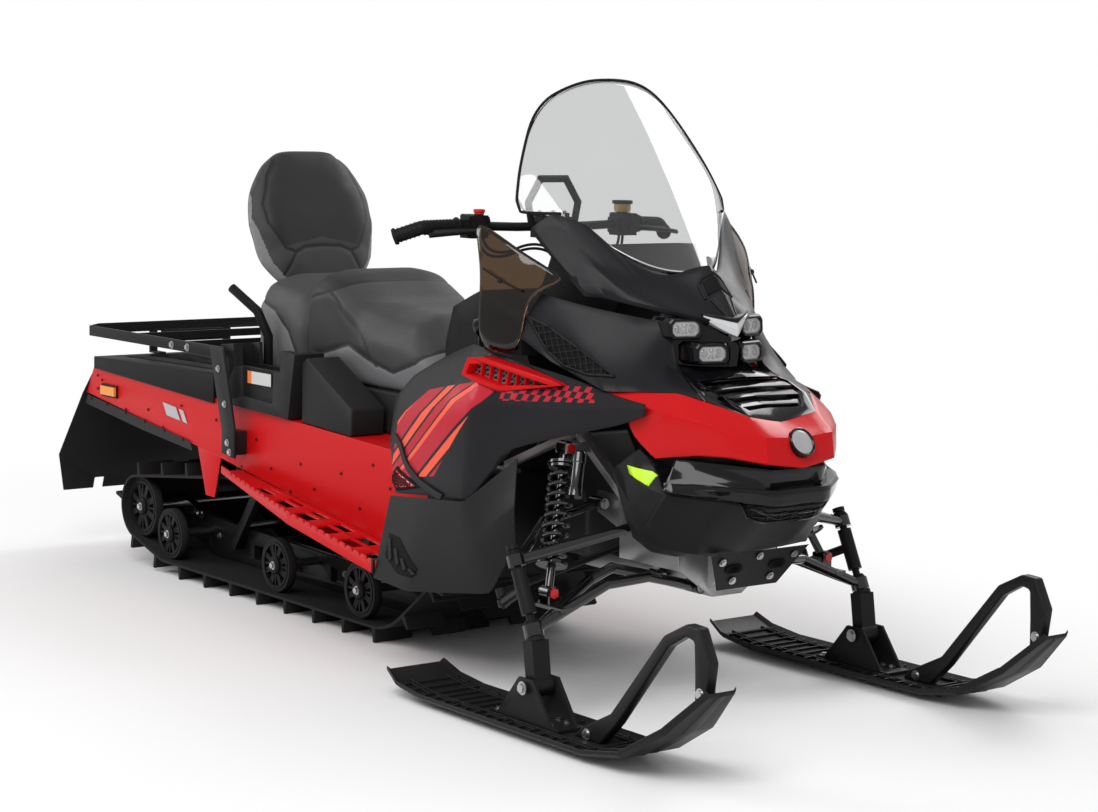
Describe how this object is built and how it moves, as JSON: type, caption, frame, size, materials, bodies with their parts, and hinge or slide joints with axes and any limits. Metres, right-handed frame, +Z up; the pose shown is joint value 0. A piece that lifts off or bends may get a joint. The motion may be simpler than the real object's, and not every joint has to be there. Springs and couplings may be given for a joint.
{
  "type": "wide-track utility snowmobile",
  "caption": "Snowmobile with a wide rubber track on a slide-rail suspension, double-wishbone skis, tall windshield, two-up seat with backrest and a rear cargo rack; steering and skis move.",
  "frame": {"origin": "on the ground under the middle of the vehicle's overall box", "axes": "+X forward, +Y to the rider's left, +Z up"},
  "size_m": [3.282, 1.198, 1.449],
  "materials": {
    "track_rubber": "matt moulded rubber",
    "flap_rubber": "satin rubber",
    "black_plastic": "fine-grained black plastic",
    "black_metal": "black powder coat",
    "bright_steel": "zinc-plated",
    "red_paint": "satin red powder coat",
    "seat_vinyl": "two-tone grey grained vinyl",
    "backrest_vinyl": "two-tone grey grained vinyl",
    "grey_plastic": "dark grey moulded plastic",
    "panel_black": "satin black with stripes",
    "gloss_black": "gloss black",
    "red_plastic": "gloss red",
    "charcoal_plastic": "charcoal plastic",
    "clear_screen": "clear polycarbonate",
    "smoked_screen": "amber-brown smoked polycarbonate",
    "aluminium": "brushed",
    "cast_metal": "dark casting",
    "gloss_black_metal": "gloss black paint",
    "spring_steel": "black painted spring",
    "bar_black": "black rubber and painted tube",
    "ski_plastic": "black moulded plastic",
    "lamp_clear": "clear lamp lens"
  },
  "bodies": {
    "chassis": {"air_boxes": "black_plastic", "backrest": "backrest_vinyl", "belly_pan": "charcoal_plastic", "box_holders": "grey_plastic", "bulkhead": "aluminium", "bumper": "gloss_black", "console": "black_plastic", "drive_axle": "bright_steel", "driver_seat": "seat_vinyl", "engine": "cast_metal", "fuel_tank": "black_plastic", "grab_handles": "black_plastic", "grille": "gloss_black", "headlamp_housing": "gloss_black", "headlamp_lenses": "lamp_clear", "hood": "panel_black", "intake_frames": "red_plastic", "lower_arms": "gloss_black_metal", "lower_panel_left": "grey_plastic", "lower_panel_right": "grey_plastic", "nose_panel": "red_plastic", "passenger_seat": "seat_vinyl", "rack": "black_metal", "rack_brackets": "black_metal", "rear_deck": "black_plastic", "running_board_left": "red_paint", "running_board_right": "red_paint", "screen_shroud": "gloss_black", "seat_base": "grey_plastic", "seat_covers": "grey_plastic", "shocks": "aluminium", "side_deflectors": "smoked_screen", "side_panel_left": "panel_black", "side_panel_right": "panel_black", "skid_arms": "black_metal", "skid_axles": "bright_steel", "skid_rails": "black_metal", "skid_wheels": "black_plastic", "snow_flap": "flap_rubber", "springs": "spring_steel", "steering_support": "black_metal", "track": "track_rubber", "tunnel": "red_paint", "upper_arms": "gloss_black_metal", "windshield": "clear_screen"},
    "handlebar": {"handlebar": "bar_black"},
    "spindle_left": {"spindle_left": "black_metal"},
    "tie_rod_left": {"tie_rod_left": "bright_steel"},
    "ski_left": {"ski_left": "ski_plastic", "ski_loop_left": "ski_plastic", "ski_saddle_left": "black_metal"},
    "spindle_right": {"spindle_right": "black_metal"},
    "tie_rod_right": {"tie_rod_right": "bright_steel"},
    "ski_right": {"ski_loop_right": "ski_plastic", "ski_right": "ski_plastic", "ski_saddle_right": "black_metal"}
  },
  "joints": [
    {"name": "steering", "type": "hinge", "parent": "chassis", "child": "handlebar", "pos_m": [0.4125, 0, 1.085], "axis": [-0.5779, 0, 0.8161], "range_deg": [-35, 35]},
    {"name": "spindle_turn_left", "type": "hinge", "parent": "chassis", "child": "spindle_left", "pos_m": [1.0255, 0.504, 0.223], "axis": [-0.4222, 0, 0.9065], "range_deg": [-28, 28]},
    {"name": "tie_rod_turn_left", "type": "hinge", "parent": "spindle_left", "child": "tie_rod_left", "pos_m": [0.8675, 0.47, 0.255], "axis": [-0.4222, 0, 0.9065], "range_deg": [-28, 28]},
    {"name": "ski_pitch_left", "type": "hinge", "parent": "spindle_left", "child": "ski_left", "pos_m": [1.0495, 0.504, 0.103], "axis": [0, 1, 0], "range_deg": [-15, 15], "stiffness_Nm_per_rad": 60},
    {"name": "spindle_turn_right", "type": "hinge", "parent": "chassis", "child": "spindle_right", "pos_m": [1.0255, -0.504, 0.223], "axis": [-0.4222, 0, 0.9065], "range_deg": [-28, 28]},
    {"name": "tie_rod_turn_right", "type": "hinge", "parent": "spindle_right", "child": "tie_rod_right", "pos_m": [0.8675, -0.47, 0.255], "axis": [-0.4222, 0, 0.9065], "range_deg": [-28, 28]},
    {"name": "ski_pitch_right", "type": "hinge", "parent": "spindle_right", "child": "ski_right", "pos_m": [1.0495, -0.504, 0.103], "axis": [0, 1, 0], "range_deg": [-15, 15], "stiffness_Nm_per_rad": 60}
  ],
  "couplings": [
    {"joint": "spindle_turn_left", "follows": "steering", "ratio": 0.8},
    {"joint": "tie_rod_turn_left", "follows": "steering", "ratio": -0.8},
    {"joint": "spindle_turn_right", "follows": "steering", "ratio": 0.8},
    {"joint": "tie_rod_turn_right", "follows": "steering", "ratio": -0.8}
  ]
}
